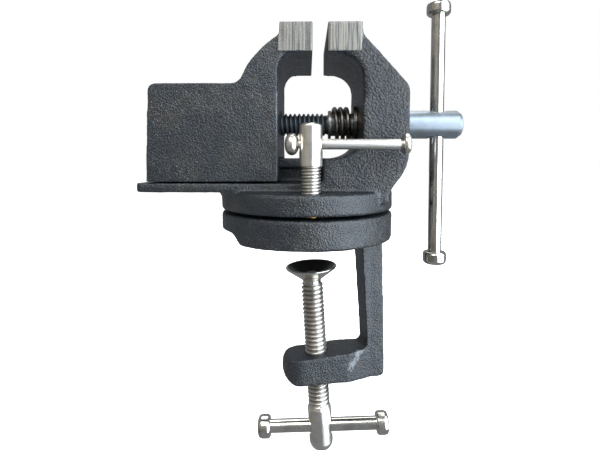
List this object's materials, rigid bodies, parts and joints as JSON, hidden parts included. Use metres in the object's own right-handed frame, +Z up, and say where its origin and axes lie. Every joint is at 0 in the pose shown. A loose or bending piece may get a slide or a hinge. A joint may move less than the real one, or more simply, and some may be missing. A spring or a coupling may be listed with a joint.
{
  "type": "bench vise",
  "caption": "Small clamp-on swivel vise: box-shaped sliding jaw on a tee rail, fixed jaw on a turning disc, lock screw, and a C frame with a screw for the table edge.",
  "frame": {"origin": "swivel axis at the flat underside of the lower disc, the face that sits on the table top", "axes": "+Z up along the swivel axis, +X along the jaw slide towards the fixed jaw, +Y away from the lock screw"},
  "size_m": [0.1365, 0.0758, 0.2051],
  "materials": {
    "painted_iron": "black pebbled paint over grey cast iron, bare ground steel on the jaw sides",
    "zinc_steel": "bright zinc plate, faint lathe marks",
    "nickel_steel": "bright nickel plate",
    "oiled_steel": "dark oiled steel",
    "black_steel": "black oxide",
    "brass": "turned brass"
  },
  "bodies": {
    "clamp_frame": {"clamp_frame": "painted_iron", "pivot_bolt": "black_steel", "pivot_washer": "zinc_steel"},
    "swivel_base": {"jaw_base": "painted_iron"},
    "sliding_jaw": {"sliding_jaw": "painted_iron", "lead_nut": "brass", "nut_grub_screw": "black_steel"},
    "lead_screw": {"lead_screw": "zinc_steel", "thrust_washer": "zinc_steel", "spring_washer": "oiled_steel", "screw_spring": "oiled_steel", "spring_clip": "oiled_steel"},
    "handle": {"handle_bar": "nickel_steel", "handle_cap_top": "nickel_steel", "handle_cap_bottom": "nickel_steel"},
    "lock_shoe": {"lock_shoe": "brass"},
    "lock_screw": {"lock_screw": "nickel_steel"},
    "lock_handle": {"lock_bar": "nickel_steel", "lock_bar_cap": "nickel_steel", "lock_bar_knob": "nickel_steel"},
    "clamp_pad": {"clamp_pad": "nickel_steel"},
    "clamp_screw": {"clamp_screw": "nickel_steel", "pad_collar": "oiled_steel"},
    "clamp_handle": {"clamp_bar": "nickel_steel", "clamp_bar_cap_left": "nickel_steel", "clamp_bar_cap_right": "nickel_steel"}
  },
  "joints": [
    {"name": "swivel", "type": "hinge", "parent": "clamp_frame", "child": "swivel_base", "pos_m": [0, 0, 0], "axis": [0, 0, 1], "continuous": true},
    {"name": "jaw_slide", "type": "slide", "parent": "swivel_base", "child": "sliding_jaw", "axis": [1, 0, 0], "range_m": [-0.0301, 0.0059]},
    {"name": "lead_screw_turn", "type": "hinge", "parent": "swivel_base", "child": "lead_screw", "pos_m": [0, 0, 0.0498], "axis": [1, 0, 0], "range_deg": [-1060, 5400]},
    {"name": "handle_slide", "type": "slide", "parent": "lead_screw", "child": "handle", "axis": [0, 0, 1], "range_m": [-0.0415, 0.0506]},
    {"name": "lock_lift", "type": "slide", "parent": "swivel_base", "child": "lock_shoe", "axis": [0, 0, 1], "range_m": [-0.0006, 0.0001]},
    {"name": "lock_turn", "type": "hinge", "parent": "lock_shoe", "child": "lock_screw", "pos_m": [0.0017, -0.031, 0.03], "axis": [0, 0, 1], "range_deg": [-165, 0]},
    {"name": "lock_bar_slide", "type": "slide", "parent": "lock_screw", "child": "lock_handle", "axis": [-1, 0, 0], "range_m": [0, 0.0299]},
    {"name": "clamp_feed", "type": "slide", "parent": "clamp_frame", "child": "clamp_pad", "axis": [-0.0597, -0.0127, 0.9981], "range_m": [-0.0312, 0.0112]},
    {"name": "clamp_turn", "type": "hinge", "parent": "clamp_pad", "child": "clamp_screw", "pos_m": [0.00117, 0.00025, 0], "axis": [-0.0597, -0.0127, 0.9981], "range_deg": [-5580, 1980]},
    {"name": "clamp_bar_slide", "type": "slide", "parent": "clamp_screw", "child": "clamp_handle", "axis": [0.998, -0.0213, 0.0594], "range_m": [-0.0203, 0.0179]}
  ],
  "couplings": [
    {"joint": "jaw_slide", "follows": "lead_screw_turn", "m_per_rad": -0.00031831},
    {"joint": "lock_lift", "follows": "lock_turn", "m_per_rad": 0.00019894},
    {"joint": "clamp_feed", "follows": "clamp_turn", "m_per_rad": 0.00031831}
  ]
}
